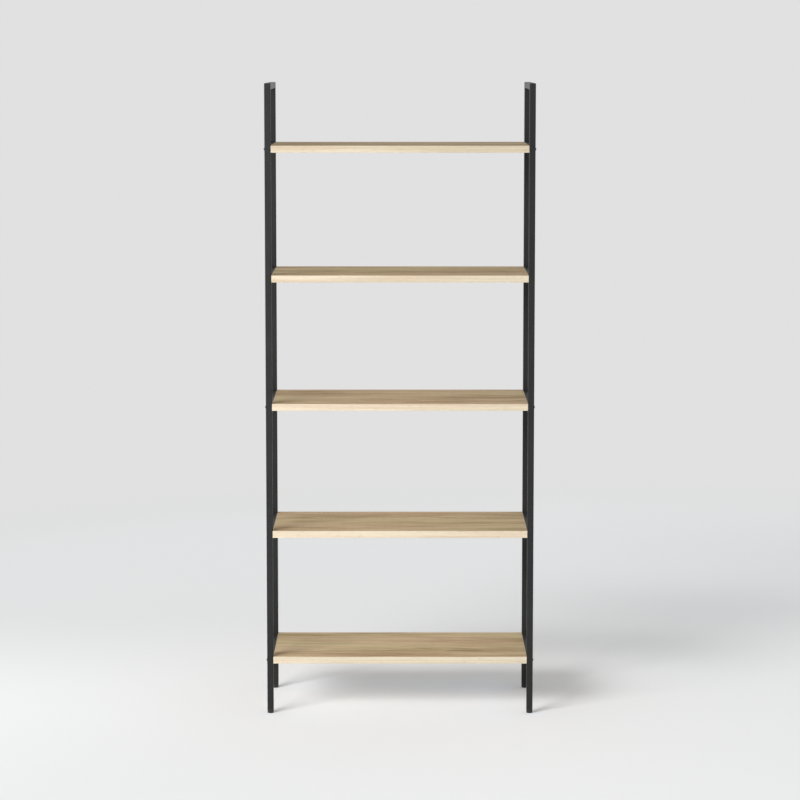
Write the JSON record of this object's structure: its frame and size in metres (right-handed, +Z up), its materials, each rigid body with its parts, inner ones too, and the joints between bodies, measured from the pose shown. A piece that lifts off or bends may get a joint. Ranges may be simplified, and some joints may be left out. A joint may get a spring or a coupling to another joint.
{
  "type": "ladder bookcase",
  "caption": "Tall open bookcase: black square-tube ladder side frames with pale wooden shelves bolted and pinned between them, standing on levelling feet.",
  "frame": {"origin": "on the floor at the middle of the footprint of the four feet", "axes": "+Z up, +X to the right as seen from the front, the front faces -Y"},
  "size_m": [0.778, 0.356, 1.829],
  "materials": {
    "black_powder_coat": "satin black powder coat with a fine texture",
    "wood_board": "pale oak veneer, clear matt lacquer, grain along the shelf",
    "wood_edge_band": "pale oak edge band, clear matt lacquer",
    "black_oxide_steel": "black oxide",
    "zinc_steel": "bright zinc plate",
    "black_nylon": "moulded, fine matt"
  },
  "bodies": {
    "bookcase": {"left_front_leg": "black_powder_coat", "left_front_foot_plug": "black_nylon", "left_back_leg": "black_powder_coat", "left_back_foot_plug": "black_nylon", "right_front_leg": "black_powder_coat", "right_front_foot_plug": "black_nylon", "right_back_leg": "black_powder_coat", "right_back_foot_plug": "black_nylon", "left_top_rail": "black_powder_coat", "left_frame_welds": "black_powder_coat", "left_bottom_rung": "black_powder_coat", "left_lower_rung": "black_powder_coat", "left_middle_rung": "black_powder_coat", "left_upper_rung": "black_powder_coat", "left_top_rung": "black_powder_coat", "right_top_rail": "black_powder_coat", "right_frame_welds": "black_powder_coat", "right_bottom_rung": "black_powder_coat", "right_lower_rung": "black_powder_coat", "right_middle_rung": "black_powder_coat", "right_upper_rung": "black_powder_coat", "right_top_rung": "black_powder_coat", "bottom_shelf_panel": "wood_board", "bottom_shelf_front_band": "wood_edge_band", "bottom_shelf_back_band": "wood_edge_band", "bottom_shelf_end_bands": "wood_edge_band", "lower_shelf_panel": "wood_board", "lower_shelf_front_band": "wood_edge_band", "lower_shelf_back_band": "wood_edge_band", "lower_shelf_end_bands": "wood_edge_band", "middle_shelf_panel": "wood_board", "middle_shelf_front_band": "wood_edge_band", "middle_shelf_back_band": "wood_edge_band", "middle_shelf_end_bands": "wood_edge_band", "upper_shelf_panel": "wood_board", "upper_shelf_front_band": "wood_edge_band", "upper_shelf_back_band": "wood_edge_band", "upper_shelf_end_bands": "wood_edge_band", "top_shelf_panel": "wood_board", "top_shelf_front_band": "wood_edge_band", "top_shelf_back_band": "wood_edge_band", "top_shelf_end_bands": "wood_edge_band", "leg_bolts": "black_oxide_steel", "barrel_nuts": "zinc_steel", "shelf_pins": "zinc_steel", "foot_bushes": "zinc_steel"},
    "left_front_foot": {"left_front_leveller_stud": "zinc_steel", "left_front_leveller_foot": "black_nylon"},
    "left_back_foot": {"left_back_leveller_stud": "zinc_steel", "left_back_leveller_foot": "black_nylon"},
    "right_front_foot": {"right_front_leveller_stud": "zinc_steel", "right_front_leveller_foot": "black_nylon"},
    "right_back_foot": {"right_back_leveller_stud": "zinc_steel", "right_back_leveller_foot": "black_nylon"}
  },
  "joints": [
    {"name": "left_front_foot_screw", "type": "slide", "parent": "bookcase", "child": "left_front_foot", "axis": [0, 0, -1], "range_m": [0, 0.012]},
    {"name": "left_back_foot_screw", "type": "slide", "parent": "bookcase", "child": "left_back_foot", "axis": [0, 0, -1], "range_m": [0, 0.012]},
    {"name": "right_front_foot_screw", "type": "slide", "parent": "bookcase", "child": "right_front_foot", "axis": [0, 0, -1], "range_m": [0, 0.012]},
    {"name": "right_back_foot_screw", "type": "slide", "parent": "bookcase", "child": "right_back_foot", "axis": [0, 0, -1], "range_m": [0, 0.012]}
  ]
}
